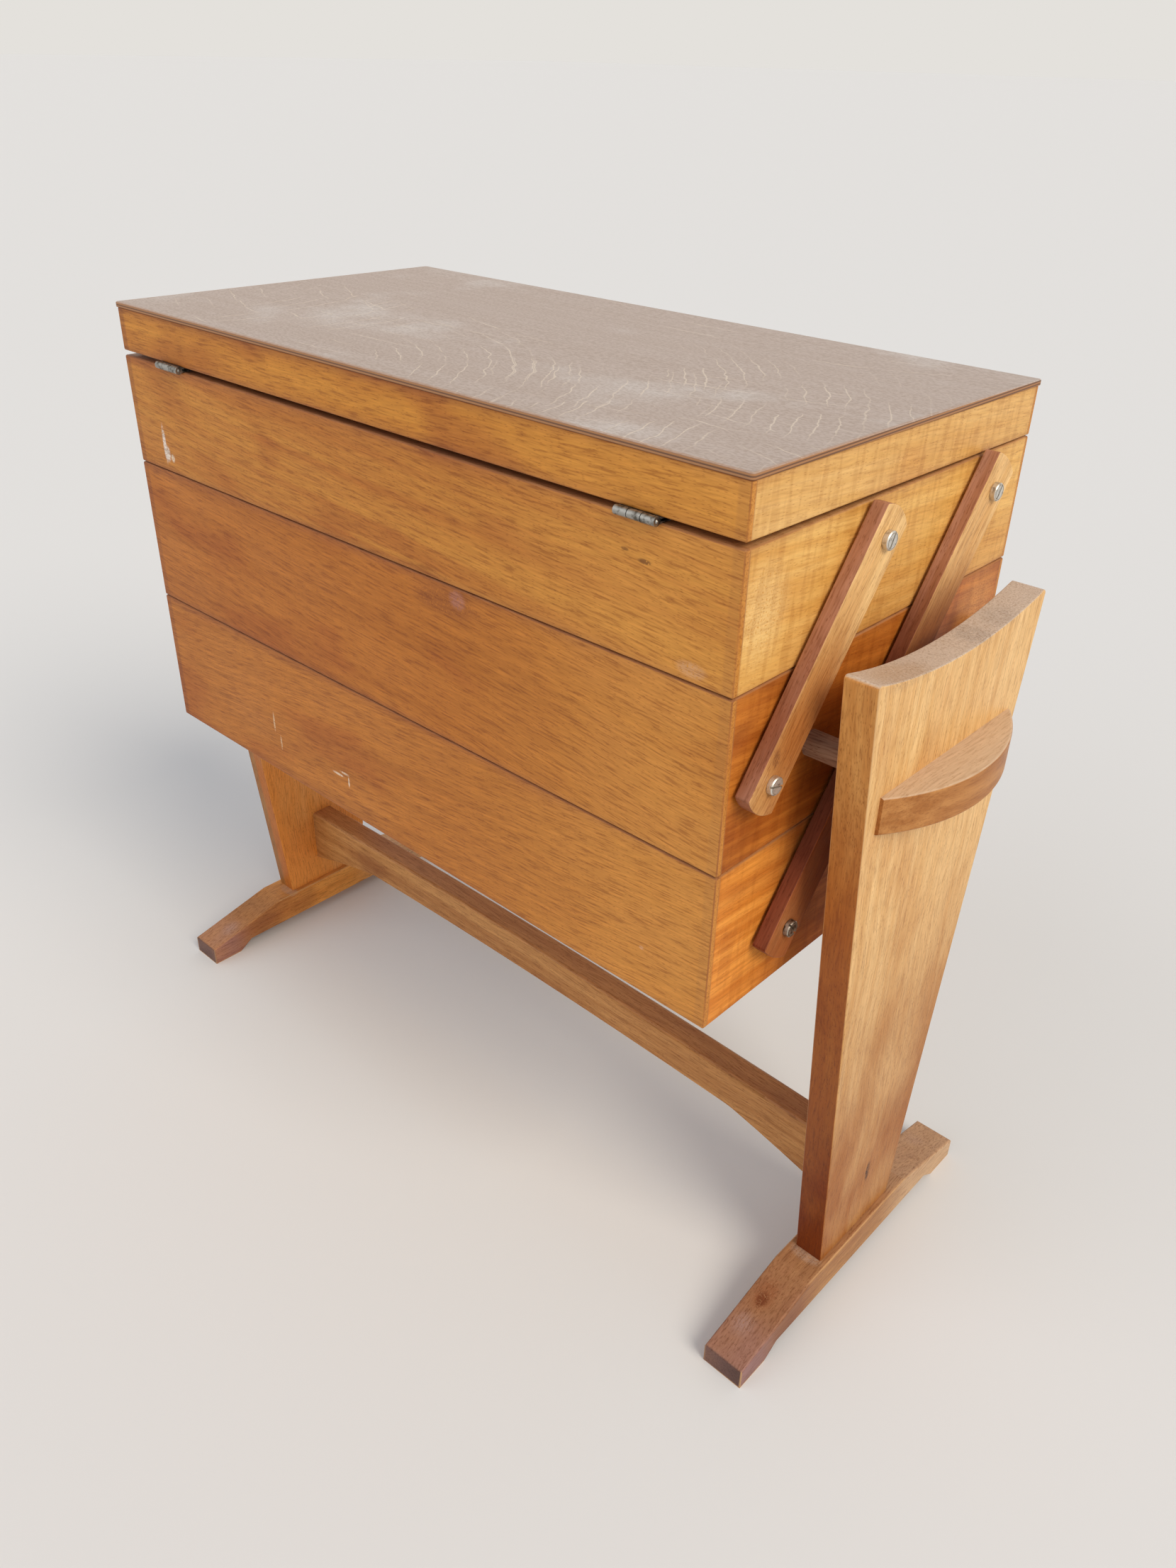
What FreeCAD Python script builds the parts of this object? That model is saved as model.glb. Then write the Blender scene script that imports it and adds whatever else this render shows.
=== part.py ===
import FreeCAD, Part
import math
import os
from types import SimpleNamespace

import Sketcher

# Cantilever sewing box on a trestle stand.
# X runs along the box, end a at +X and end b at -X. The lid hinges on the -Y side.
# The origin is on the floor, under the middle of the box. All sizes are in millimetres.

SIZES = {
    # box
    "box_length": 500,
    "box_depth": 256,
    "box_clearance": 258,
    "board_thick": 10,
    "corner_skin": 3,
    "low_tray_high": 96,
    "middle_tray_high": 96,
    "top_tray_high": 69,
    "tray_gap": 0.5,
    "tray_round": 1.2,
    # tray bases
    "base_thick": 4,
    "base_rise": 5,
    "groove_deep": 4,
    "groove_play": 0.2,
    # lid
    "lid_frame_high": 26.5,
    "lid_panel_thick": 3,
    "lid_overhang": 0.8,
    "lid_corner": 2,
    "lid_panel_round": 0.8,
    "lid_rest": 0.5,
    # hinges
    "hinge_inset": 58,
    "hinge_long": 24,
    "hinge_gap": 3,
    "barrel_radius": 2.3,
    "barrel_play": 0.3,
    "knuckle_play": 0.4,
    "hinge_pin_radius": 1,
    "hinge_pin_tip": 0.6,
    "hinge_pin_fit": 0.05,
    "leaf_thick": 0.9,
    "leaf_margin": 1.5,
    "leaf_screw_spread": 7,
    "leaf_screw_radius": 1.1,
    "leaf_screw_head": 1.9,
    "leaf_screw_long": 8,
    # arms and pivots
    "arm_wide": 25,
    "arm_thick": 8.5,
    "arm_throw": 74,
    "arm_corner": 1.5,
    "arm_round": 0.6,
    "short_arm_corner": 12.5,
    "short_arm_crown": 16,
    "long_arm_corner": 16,
    "long_arm_crown": 18,
    "pivot_margin": 23,
    "pivot_inset": 52.5,
    "pivot_play": 0.1,
    "washer_thick": 1.8,
    "washer_radius": 6,
    "side_play": 0.2,
    "screw_head_radius": 4.8,
    "screw_head_thick": 3,
    "screw_ring_radius": 3.6,
    "screw_ring_wide": 0.4,
    "screw_ring_deep": 0.4,
    "screw_radius": 2.25,
    "screw_skin": 1,
    "screw_fit": 0.03,
    # drive slots of the screws
    "slot_wide": 1.1,
    "slot_deep": 1.3,
    "small_slot_wide": 0.5,
    "small_slot_deep": 0.4,
    "screw_bevel": 0.5,
    # stand
    "arm_clearance": 13.3,
    "panel_thick": 19,
    "panel_rise": 55.5,
    "panel_top_wide": 165,
    "panel_foot_wide": 80,
    "panel_dip": 10.3,
    "panel_corner": 2,
    "panel_round": 1,
    "foot_wide": 28,
    "foot_long": 255,
    "foot_high": 32,
    "foot_shoulder": 16,
    "foot_tip": 15,
    "foot_pad_long": 25,
    "foot_ramp": 12,
    "foot_relief": 8,
    "foot_round": 1.5,
    "tenon_thick": 9,
    "tenon_shoulder": 12,
    "tenon_long": 14,
    "tenon_play": 0.15,
    "stretcher_height": 102,
    "stretcher_crown": 5,
    "stretcher_deep": 47,
    "stretcher_waist": 22.5,
    "haunch_long": 82,
    "haunch_deep": 26,
    "haunch_middle_deep": 35.5,
    "haunch_round": 60,
    "stretcher_thick": 20,
    "stretcher_round": 2.5,
    "stretcher_shoulder": 4,
    "stretcher_tenon_drop": 6,
    "stretcher_tenon_long": 10,
    # dowels
    "dowel_radius": 7,
    "dowel_fit": 0.03,
    "dowel_edge": 19,
    "dowel_bevel": 0.8,
    "dowel_tray_skin": 2,
    "dowel_panel_bite": 12,
    # grips
    "grip_thick": 21,
    "grip_reach": 22.5,
    "grip_tip": 2,
    "grip_margin": 9,
    "grip_drop": 20,
    "grip_round": 1.2,
    "grip_screw_radius": 1.9,
    "grip_screw_head": 3.7,
    "grip_screw_spread": 34,
    "grip_screw_bite": 13,
}

doc = FreeCAD.newDocument("SewingBox")
sheet = doc.addObject("Spreadsheet::Sheet", "Sizes")
for row, (name, number) in enumerate(SIZES.items(), 1):
    sheet.set(f"A{row}", name)
    sheet.set(f"B{row}", str(number))
    sheet.setAlias(f"B{row}", name)
doc.recompute()


class Size:
    # A length or an angle that keeps the sheet expression it comes from.
    def __init__(self, value, text=None):
        self.value = float(value)
        self.text = text or f"({value})"

    def __float__(self):
        return self.value

    def __neg__(self):
        return Size(-self.value, f"(-{self.text})")

    def __add__(self, other):
        other = as_size(other)
        return Size(self.value + other.value, f"({self.text} + {other.text})")

    def __sub__(self, other):
        other = as_size(other)
        return Size(self.value - other.value, f"({self.text} - {other.text})")

    def __mul__(self, other):
        other = as_size(other)
        return Size(self.value * other.value, f"({self.text} * {other.text})")

    def __truediv__(self, other):
        other = as_size(other)
        return Size(self.value / other.value, f"({self.text} / {other.text})")

    __radd__ = __add__
    __rmul__ = __mul__


def as_size(item):
    return item if isinstance(item, Size) else Size(item)


def root(item):
    return Size(math.sqrt(item.value), f"sqrt({item.text})")


def arc_tangent(rise, run):
    angle = math.degrees(math.atan2(rise.value, run.value))
    return Size(angle, f"atan2({rise.text}; {run.text})")


def arc_sine(ratio):
    return Size(math.degrees(math.asin(ratio.value)), f"asin({ratio.text})")


mm = SimpleNamespace(**{name: Size(number, f"Sizes.{name}") for name, number in SIZES.items()})
zero = Size(0)
ENDS = {"a": 1, "b": -1}

# Box: outer half sizes, inner faces and the level of each tray.
half_length = mm.box_length / 2
half_depth = mm.box_depth / 2
end_inner = half_length - mm.board_thick
side_inner = half_depth - mm.board_thick
skin_inner = half_depth - mm.corner_skin
low_level = mm.box_clearance
middle_level = low_level + mm.low_tray_high + mm.tray_gap
top_level = middle_level + mm.middle_tray_high + mm.tray_gap
rim_level = top_level + mm.top_tray_high

# Hinge axis, and the lid's slope from the hinge gap down to its rest.
hinge_offset = mm.barrel_radius + mm.barrel_play
hinge_y = -(half_depth + hinge_offset)
hinge_z = rim_level + mm.hinge_gap / 2
hinge_x = half_length - mm.hinge_inset
lid_slope = -arc_sine((mm.hinge_gap - mm.lid_rest) / (mm.box_depth + hinge_offset))
lid_low = mm.hinge_gap / 2
lid_high = lid_low + mm.lid_frame_high

# Pivots: three on the middle tray and two each on the trays above and below.
pivot_level = middle_level + mm.middle_tray_high / 2
pivot_spread = half_depth - mm.pivot_margin
arm_rise = mm.middle_tray_high / 2 + mm.tray_gap + mm.pivot_inset
arm_half = root(mm.arm_throw * mm.arm_throw + arm_rise * arm_rise)
arm_angle = arc_tangent(arm_rise, mm.arm_throw)
short_offset = mm.arm_throw - pivot_spread
pivots = {
    "low": [(-mm.arm_throw, pivot_level - arm_rise), (-short_offset, pivot_level - arm_rise)],
    "middle": [(-pivot_spread, pivot_level), (zero, pivot_level), (pivot_spread, pivot_level)],
    "top": [(mm.arm_throw, pivot_level + arm_rise), (short_offset, pivot_level + arm_rise)],
}

# Layers outwards from the box end: washer, arm, screw head, panel.
arm_inner = half_length + mm.washer_thick + mm.side_play
arm_outer = arm_inner + mm.arm_thick
head_inner = arm_outer + mm.side_play
screw_bite = mm.board_thick - mm.screw_skin
panel_inner = head_inner + mm.screw_head_thick + mm.arm_clearance
panel_outer = panel_inner + mm.panel_thick
panel_centre = (panel_inner + panel_outer) / 2
panel_top = pivot_level + mm.panel_rise


def panel_half(level):
    # Half width of the tapered end panel at a level.
    lower = mm.panel_foot_wide / 2
    upper = mm.panel_top_wide / 2
    return lower + (upper - lower) * (level - mm.foot_high) / (panel_top - mm.foot_high)


dowel_y = panel_half(pivot_level) - mm.dowel_edge
grip_level = pivot_level - mm.grip_drop
grip_low = grip_level - mm.grip_thick / 2
grip_high = grip_level + mm.grip_thick / 2
grip_half = panel_half(grip_low) - mm.grip_margin

NODES = []
# Each origin plane with the side of it that its normal points to.
PLANES = {"XY": 1, "XZ": -1, "YZ": 1}
NEAR = 1e-4


def new_body(label):
    body = doc.addObject("PartDesign::Body", label)
    body.Label = label
    return body


def node(label):
    body = new_body(label)
    NODES.append(body)
    return body


def bind(item, **sizes):
    for name, size in sizes.items():
        item.setExpression(name.replace("_", "."), as_size(size).text)


def place(item, x=0, y=0, z=0, turn=None):
    # Moves an object, and turns it about the X axis where an angle is given.
    bind(item, Placement_Base_x=x, Placement_Base_y=y, Placement_Base_z=z)
    if turn is not None:
        bind(item, Placement_Rotation_Axis_x=1, Placement_Rotation_Axis_y=0)
        bind(item, Placement_Rotation_Axis_z=0, Placement_Rotation_Angle=turn)


def place_on_lid(item):
    place(item, 0, hinge_y, hinge_z, lid_slope)


def via(across, up):
    # A point that the edge between its two neighbours passes through as an arc.
    return (across, up, "arc")


def vector(point):
    return FreeCAD.Vector(float(point[0]), float(point[1]), 0)


def fix(sketch, geometry, end, point):
    for kind, size in (("DistanceX", as_size(point[0])), ("DistanceY", as_size(point[1]))):
        index = sketch.addConstraint(Sketcher.Constraint(kind, -1, 1, geometry, end, size.value))
        sketch.setExpression(f"Constraints[{index}]", size.text)


def new_sketch(body, plane, level):
    sketch = body.newObject("Sketcher::SketchObject", "Sketch")
    origin = [item for item in body.Origin.OriginFeatures if item.Role == plane + "_Plane"][0]
    sketch.AttachmentSupport = [(origin, "")]
    sketch.MapMode = "FlatFace"
    bind(sketch, AttachmentOffset_Base_z=as_size(level) * PLANES[plane])
    return sketch


def draw_outline(sketch, points):
    corners = [point for point in points if len(point) == 2]
    geometry = []
    for index, point in enumerate(points):
        if len(point) == 3:
            continue
        middle = points[(index + 1) % len(points)]
        after = points[(index + 2) % len(points)] if len(middle) == 3 else middle
        if len(middle) == 3:
            curve = Part.Arc(vector(point), vector(middle), vector(after))
            edge = sketch.addGeometry(curve)
            starts_here = sketch.getPoint(edge, 1).distanceToPoint(vector(point)) < NEAR
            geometry.append((edge, (1, 2) if starts_here else (2, 1)))
            mark = sketch.addGeometry(Part.Point(vector(middle)), True)
            fix(sketch, mark, 1, middle)
            sketch.addConstraint(Sketcher.Constraint("PointOnObject", mark, 1, edge))
        else:
            edge = sketch.addGeometry(Part.LineSegment(vector(point), vector(after)))
            geometry.append((edge, (1, 2)))
    for number, (edge, (start, end)) in enumerate(geometry):
        following, (next_start, _) = geometry[(number + 1) % len(geometry)]
        sketch.addConstraint(Sketcher.Constraint("Coincident", edge, end, following, next_start))
        fix(sketch, edge, start, corners[number])


def draw_circles(sketch, circles):
    for across, up, radius in circles:
        circle = Part.Circle(vector((across, up)), FreeCAD.Vector(0, 0, 1), float(radius))
        edge = sketch.addGeometry(circle)
        fix(sketch, edge, 3, (across, up))
        index = sketch.addConstraint(Sketcher.Constraint("Radius", edge, float(radius)))
        sketch.setExpression(f"Constraints[{index}]", as_size(radius).text)


def extrude(kind, body, plane, low, high, outline, circles):
    starts_low = (kind == "Pad") == (PLANES[plane] > 0)
    sketch = new_sketch(body, plane, low if starts_low else high)
    if outline:
        draw_outline(sketch, outline)
    draw_circles(sketch, circles)
    feature = body.newObject(f"PartDesign::{kind}", kind)
    feature.Profile = sketch
    bind(feature, Length=as_size(high) - low)
    return feature


def pad(body, plane, low, high, outline=(), circles=()):
    return extrude("Pad", body, plane, low, high, outline, circles)


def cut(body, plane, low, high, outline=(), circles=()):
    return extrude("Pocket", body, plane, low, high, outline, circles)


def spin(body, plane, axis, outline):
    # Turns a half section into a round piece.
    sketch = new_sketch(body, plane, 0)
    draw_outline(sketch, outline)
    feature = body.newObject("PartDesign::Revolution", "Revolution")
    feature.Profile = sketch
    feature.ReferenceAxis = (sketch, [axis])
    feature.Angle = 360
    return feature


def countersink(body, plane, level, towards, centres, radius, head):
    # Through holes for flush screws, from a level towards +1 or -1 along the plane's normal.
    sketch = new_sketch(body, plane, level)
    draw_circles(sketch, [(across, up, radius) for across, up in centres])
    hole = body.newObject("PartDesign::Hole", "Hole")
    hole.Profile = sketch
    doc.recompute()
    hole.ThreadType = "None"
    hole.DepthType = "ThroughAll"
    hole.HoleCutType = "Countersink"
    hole.HoleCutCustomValues = True
    hole.HoleCutCountersinkAngle = 90
    hole.Reversed = towards > 0
    bind(hole, Diameter=radius * 2, HoleCutDiameter=head * 2)
    return hole


def rectangle(left, right, low, high):
    return [(left, low), (right, low), (right, high), (left, high)]


def lies(edge, **places):
    # True where the whole edge lies at the given coordinates.
    box = edge.BoundBox
    spans = {"x": (box.XMin, box.XMax), "y": (box.YMin, box.YMax), "z": (box.ZMin, box.ZMax)}
    return all(
        max(abs(limit - float(places[axis])) for limit in spans[axis]) < NEAR for axis in places
    )


def soften(body, radius, chosen):
    doc.recompute()
    base = body.Tip
    names = [f"Edge{number}" for number, edge in enumerate(base.Shape.Edges, 1) if chosen(edge)]
    fillet = body.newObject("PartDesign::Fillet", "Fillet")
    fillet.Base = (base, names)
    bind(fillet, Radius=radius)
    return fillet


def sides(end, inner, outer):
    # The span between two distances from the middle, at end a or b.
    return (inner, outer) if end > 0 else (-outer, -inner)


def copies(label, source, spots):
    # One node of separate equal solids, each with a place and a turn.
    links = []
    for number, (x, y, z, turn) in enumerate(spots, 1):
        link = doc.addObject("App::Link", f"{label}_{number}")
        link.LinkedObject = source
        link.Placement = FreeCAD.Placement(FreeCAD.Vector(), turn)
        place(link, x, y, z)
        links.append(link)
    group = doc.addObject("Part::Compound", label)
    group.Label = label
    group.Links = links
    NODES.append(group)
    return group


# ---- trays and lid ----


def long_board(label, side, centre, low, high, radius):
    # The board's outer skin runs on over the end boards; the rest stops between them.
    body = node(label)
    outer, skin, inner = (centre + side * size for size in (half_depth, skin_inner, side_inner))
    outline = [
        (-half_length, outer),
        (half_length, outer),
        (half_length, skin),
        (end_inner, skin),
        (end_inner, inner),
        (-end_inner, inner),
        (-end_inner, skin),
        (-half_length, skin),
    ]
    pad(body, "XY", low, high, outline)

    def outside(edge):
        level = lies(edge, z=low) or lies(edge, z=high)
        lap = lies(edge, x=half_length) or lies(edge, x=-half_length)
        return lies(edge, y=outer) or (level and lap)

    soften(body, radius, outside)
    return body


def end_board(label, end, centre, low, high, radius):
    body = node(label)
    left, right = sides(end, end_inner, half_length)
    pad(body, "XY", low, high, rectangle(left, right, centre - skin_inner, centre + skin_inner))
    face = half_length * end
    soften(body, radius, lambda edge: lies(edge, x=face, z=low) or lies(edge, x=face, z=high))
    return body


def tray_groove(body, left, right, front, back):
    top = mm.base_rise + mm.base_thick + mm.groove_play
    cut(body, "XY", mm.base_rise, top, rectangle(left, right, front, back))


def make_tray(name, level, high, dowels):
    groove_end = end_inner + mm.groove_deep
    groove_side = side_inner + mm.groove_deep
    for title, side in (("back", -1), ("front", 1)):
        body = long_board(f"{name}_tray_{title}", side, zero, zero, high, mm.tray_round)
        tray_groove(body, -end_inner, end_inner, *sides(side, side_inner, groove_side))
        if name == "top" and side < 0:
            hinge_screw_holes(body, high - mm.leaf_screw_long, high, zero)
        place(body, z=level)
    for title, end in ENDS.items():
        body = end_board(f"{name}_tray_end_{title}", end, zero, zero, high, mm.tray_round)
        tray_groove(body, *sides(end, end_inner, groove_end), -groove_side, groove_side)
        holes = [(y, z - level, mm.screw_radius + mm.screw_fit) for y, z in pivots[name]]
        cut(body, "YZ", *sides(end, half_length - screw_bite, half_length), circles=holes)
        if dowels:
            radius = mm.dowel_radius + mm.dowel_fit
            sockets = [(y, pivot_level - level, radius) for y in (-dowel_y, dowel_y)]
            bottom = end_inner + mm.dowel_tray_skin
            cut(body, "YZ", *sides(end, bottom, half_length), circles=sockets)
        place(body, z=level)
    base = node(f"{name}_tray_base")
    reach = groove_end - mm.groove_play
    width = groove_side - mm.groove_play
    base_top = mm.base_rise + mm.base_thick
    pad(base, "XY", mm.base_rise, base_top, rectangle(-reach, reach, -width, width))
    place(base, z=level)


def make_lid():
    centre = -hinge_y
    for title, side in (("back", -1), ("front", 1)):
        body = long_board(f"lid_{title}", side, centre, lid_low, lid_high, mm.tray_round)
        if side < 0:
            hinge_screw_holes(body, lid_low, lid_low + mm.leaf_screw_long, centre)
        place_on_lid(body)
    for title, end in ENDS.items():
        body = end_board(f"lid_end_{title}", end, centre, lid_low, lid_high, mm.tray_round)
        place_on_lid(body)
    panel = node("lid_panel")
    reach = half_length + mm.lid_overhang
    width = half_depth + mm.lid_overhang
    top = lid_high + mm.lid_panel_thick
    pad(panel, "XY", lid_high, top, rectangle(-reach, reach, centre - width, centre + width))
    soften(panel, mm.lid_corner, lambda edge: not lies(edge, z=lid_high) and not lies(edge, z=top))
    soften(panel, mm.lid_panel_round, lambda edge: lies(edge, z=top))
    place_on_lid(panel)


# ---- hinges ----


def leaf_screws():
    # Screw places on the two leaves of one side, along the box.
    return [
        end * hinge_x + side * mm.leaf_screw_spread for end in ENDS.values() for side in (-1, 1)
    ]


def hinge_screw_holes(body, low, high, centre):
    line = centre - half_depth + mm.board_thick / 2
    radius = mm.leaf_screw_radius + mm.screw_fit
    cut(body, "XY", low, high, circles=[(x, line, radius) for x in leaf_screws()])


def hinge_leaf(label, knuckle_spans, outline, low, high, towards):
    # Flat plate with its own knuckles round the pin, drawn about the pin's axis.
    body = node(label)
    pad(body, "XY", low, high, outline)
    for start, end in knuckle_spans:
        pad(body, "YZ", start, end, circles=[(zero, zero, mm.barrel_radius)])
    bore = mm.hinge_pin_radius + mm.hinge_pin_fit
    half = mm.hinge_long / 2
    cut(body, "YZ", -half, half, circles=[(zero, zero, bore)])
    screw_line = hinge_offset + mm.board_thick / 2
    centres = [(-mm.leaf_screw_spread, screw_line), (mm.leaf_screw_spread, screw_line)]
    face = high if towards < 0 else low
    radius = mm.leaf_screw_radius + mm.screw_fit
    countersink(body, "XY", face, towards, centres, radius, mm.leaf_screw_head + mm.screw_fit)
    return body


def make_hinges():
    half = mm.hinge_long / 2
    third = mm.hinge_long / 6
    gap = mm.knuckle_play / 2
    leaf_wide = hinge_offset + mm.board_thick - mm.leaf_margin
    plate = mm.hinge_gap / 2
    outer_knuckles = [(-half, -third - gap), (third + gap, half)]
    middle_knuckle = [(gap - third, third - gap)]
    tray_outline = [
        (-half, zero),
        (-third - gap, zero),
        (-third - gap, hinge_offset),
        (third + gap, hinge_offset),
        (third + gap, zero),
        (half, zero),
        (half, leaf_wide),
        (-half, leaf_wide),
    ]
    lid_outline = [
        (-half, hinge_offset),
        (gap - third, hinge_offset),
        (gap - third, zero),
        (third - gap, zero),
        (third - gap, hinge_offset),
        (half, hinge_offset),
        (half, leaf_wide),
        (-half, leaf_wide),
    ]
    for title, end in ENDS.items():
        across = end * hinge_x
        label = f"hinge_tray_leaf_{title}"
        leaf = hinge_leaf(label, outer_knuckles, tray_outline, -plate, mm.leaf_thick - plate, -1)
        place(leaf, across, hinge_y, hinge_z)
        label = f"hinge_lid_leaf_{title}"
        leaf = hinge_leaf(label, middle_knuckle, lid_outline, plate - mm.leaf_thick, plate, 1)
        place(leaf, across, hinge_y, hinge_z, lid_slope)
        pin = node(f"hinge_pin_{title}")
        section = [
            (-half - mm.hinge_pin_tip, zero),
            (-half - mm.hinge_pin_tip, mm.hinge_pin_radius / 2),
            (-half, mm.hinge_pin_radius),
            (half, mm.hinge_pin_radius),
            (half + mm.hinge_pin_tip, mm.hinge_pin_radius / 2),
            (half + mm.hinge_pin_tip, zero),
        ]
        spin(pin, "XY", "H_Axis", section)
        place(pin, across, hinge_y, hinge_z)


# ---- arms ----


def arm(label, end, start, finish, corner, crown, holes, y, z):
    # Flat bar drawn along Y with slightly bowed ends, then leant over at its pivot.
    body = node(label)
    low, high = sides(end, arm_inner, arm_outer)
    half = mm.arm_wide / 2
    outline = [
        (start - corner, -half),
        (finish + corner, -half),
        via(finish + crown, zero),
        (finish + corner, half),
        (start - corner, half),
        via(start - crown, zero),
    ]
    pad(body, "YZ", low, high, outline)
    tips = (start - corner, finish + corner)
    corners = [{"y": tip, "z": edge} for tip in tips for edge in (-half, half)]
    soften(body, mm.arm_corner, lambda edge: any(lies(edge, **spot) for spot in corners))
    soften(body, mm.arm_round, lambda edge: lies(edge, x=low) or lies(edge, x=high))
    bore = mm.screw_radius + mm.pivot_play
    cut(body, "YZ", low, high, circles=[(hole, zero, bore) for hole in holes])
    place(body, 0, y, z, arm_angle)


def make_arms():
    short = (mm.short_arm_corner, mm.short_arm_crown)
    long = (mm.long_arm_corner, mm.long_arm_crown)
    for title, end in ENDS.items():
        pins = (-arm_half, zero, arm_half)
        arm(f"arm_long_{title}", end, -arm_half, arm_half, *long, pins, zero, pivot_level)
        pins = (zero, arm_half)
        arm(f"arm_top_{title}", end, zero, arm_half, *short, pins, -pivot_spread, pivot_level)
        pins = (-arm_half, zero)
        arm(f"arm_low_{title}", end, -arm_half, zero, *short, pins, pivot_spread, pivot_level)


# ---- screws, washers and dowels ----


def cheese_screw(label, bite):
    # Slotted screw with a ring turned in its flat head, its seat at the origin and the head up.
    body = new_body(label)
    ring_floor = mm.screw_head_thick - mm.screw_ring_deep
    section = [
        (zero, mm.screw_head_thick),
        (mm.screw_ring_radius, mm.screw_head_thick),
        (mm.screw_ring_radius, ring_floor),
        (mm.screw_ring_radius + mm.screw_ring_wide, ring_floor),
        (mm.screw_ring_radius + mm.screw_ring_wide, mm.screw_head_thick),
        (mm.screw_head_radius - mm.screw_bevel, mm.screw_head_thick),
        (mm.screw_head_radius, mm.screw_head_thick - mm.screw_bevel),
        (mm.screw_head_radius, zero),
        (mm.screw_radius, zero),
        (mm.screw_radius, mm.screw_bevel - bite),
        (mm.screw_radius - mm.screw_bevel, -bite),
        (zero, -bite),
    ]
    spin(body, "XZ", "V_Axis", section)
    half = mm.slot_wide / 2
    reach = mm.screw_head_radius
    floor = mm.screw_head_thick - mm.slot_deep
    cut(body, "XY", floor, mm.screw_head_thick, rectangle(-reach, reach, -half, half))
    return body


def flush_screw(label, radius, head, bite):
    # Slotted screw with a cone under its flat head, the head's face at the origin.
    body = new_body(label)
    section = [
        (zero, zero),
        (head, zero),
        (radius, radius - head),
        (radius, mm.small_slot_deep - bite),
        (radius - mm.small_slot_deep, -bite),
        (zero, -bite),
    ]
    spin(body, "XZ", "V_Axis", section)
    half = mm.small_slot_wide / 2
    cut(body, "XY", -mm.small_slot_deep, zero, rectangle(-head, head, -half, half))
    return body


def outwards(end, slot=0):
    # Turns a piece drawn upright so that its top faces out of end a or b.
    lean = FreeCAD.Rotation(FreeCAD.Vector(0, 1, 0), 90 * end)
    return lean.multiply(FreeCAD.Rotation(FreeCAD.Vector(0, 0, 1), slot))


def make_pivot_fasteners():
    stack = head_inner - half_length
    screw = cheese_screw("PivotScrew", stack + screw_bite)
    washer = new_body("Washer")
    bore = mm.screw_radius + mm.pivot_play
    ring = [(zero, zero, mm.washer_radius), (zero, zero, bore)]
    pad(washer, "XY", zero, mm.washer_thick, circles=ring)
    # The slots stopped where each screw came tight.
    slots = {"low": (35, 160), "middle": (75, 20, 130), "top": (150, 155)}
    for tray, spots in pivots.items():
        screws = []
        rings = []
        for end in ENDS.values():
            for (y, z), slot in zip(spots, slots[tray]):
                screws.append((end * head_inner, y, z, outwards(end, slot)))
                rings.append((end * half_length, y, z, outwards(end)))
        copies(f"pivot_screws_{tray}", screw, screws)
        copies(f"washers_{tray}", washer, rings)


def make_hinge_screws():
    bite = mm.leaf_thick + mm.leaf_screw_long - mm.screw_skin
    screw = flush_screw("HingeScrew", mm.leaf_screw_radius, mm.leaf_screw_head, bite)
    line = -(half_depth - mm.board_thick / 2)
    upright = FreeCAD.Rotation()
    spots = [(x, line, rim_level + mm.leaf_thick, upright) for x in leaf_screws()]
    copies("hinge_screws_tray", screw, spots)
    turned = FreeCAD.Rotation(FreeCAD.Vector(1, 0, 0), 180)
    spots = [(x, line - hinge_y, lid_low - mm.leaf_thick, turned) for x in leaf_screws()]
    place_on_lid(copies("hinge_screws_lid", screw, spots))


def make_grip_screws():
    bite = mm.panel_thick + mm.grip_screw_bite
    screw = flush_screw("GripScrew", mm.grip_screw_radius, mm.grip_screw_head, bite)
    spots = []
    for end in ENDS.values():
        for side in (-1, 1):
            y = side * mm.grip_screw_spread
            spots.append((end * panel_inner, y, grip_level, outwards(-end)))
    copies("grip_screws", screw, spots)


def make_dowels():
    dowel = new_body("Dowel")
    start = end_inner + mm.dowel_tray_skin
    length = panel_inner + mm.dowel_panel_bite - start
    section = [
        (zero, zero),
        (mm.dowel_radius - mm.dowel_bevel, zero),
        (mm.dowel_radius, mm.dowel_bevel),
        (mm.dowel_radius, length - mm.dowel_bevel),
        (mm.dowel_radius - mm.dowel_bevel, length),
        (zero, length),
    ]
    spin(dowel, "XZ", "V_Axis", section)
    spots = [
        (end * start, side * dowel_y, pivot_level, outwards(end))
        for end in ENDS.values()
        for side in (-1, 1)
    ]
    copies("support_dowels", dowel, spots)


# ---- stand ----


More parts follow.
